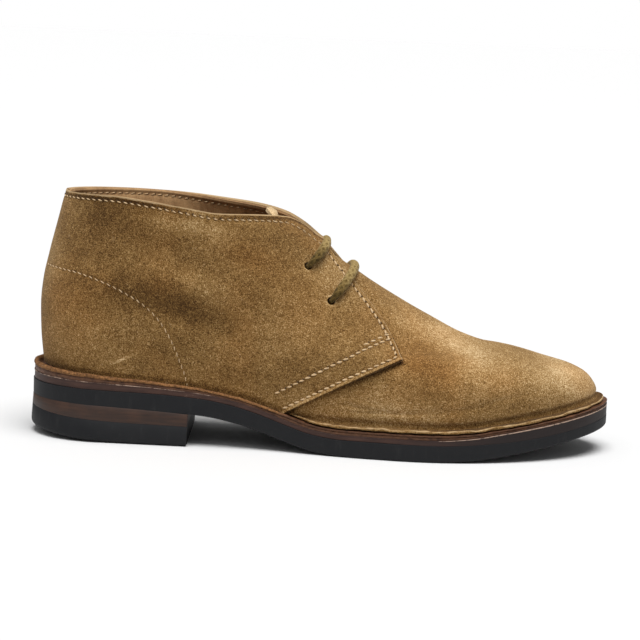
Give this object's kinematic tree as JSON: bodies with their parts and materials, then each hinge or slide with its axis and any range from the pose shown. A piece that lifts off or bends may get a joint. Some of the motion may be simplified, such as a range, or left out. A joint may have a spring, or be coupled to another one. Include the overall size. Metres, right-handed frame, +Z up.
{
  "type": "chukka boot",
  "caption": "Ankle-high laced suede boot for a right foot, with a hollow upper, overlaid quarters, a stitched welt and a stacked low heel.",
  "frame": {"origin": "on the floor, under the middle of the heel, where the flat of the heel rests", "axes": "+X points forward to the toe, +Y to the wearer's left, which is the inner side of this right boot, +Z up"},
  "size_m": [0.2984, 0.1019, 0.1252],
  "materials": {
    "suede": "brushed sand-brown suede with a short matt nap",
    "lining_leather": "smooth tan leather, matt",
    "welt_leather": "cut leather edge, orange-brown, raw on top",
    "midsole_leather": "burnished dark brown leather edge",
    "heel_leather": "brown heel lift, satin edge",
    "sole_rubber": "charcoal black rubber, satin edge",
    "lace_cord": "braided olive-brown cotton cord",
    "thread": "light sand sewing thread"
  },
  "bodies": {
    "root": {"heel_top_piece": "sole_rubber", "heel_lift": "heel_leather", "outsole": "sole_rubber", "midsole": "midsole_leather", "welt": "welt_leather", "insole": "lining_leather", "upper": "suede", "quarter_lateral": "suede", "quarter_medial": "suede", "tongue": "suede", "lace_bar_lower": "lace_cord", "lace_bar_upper": "lace_cord"}
  },
  "joints": []
}
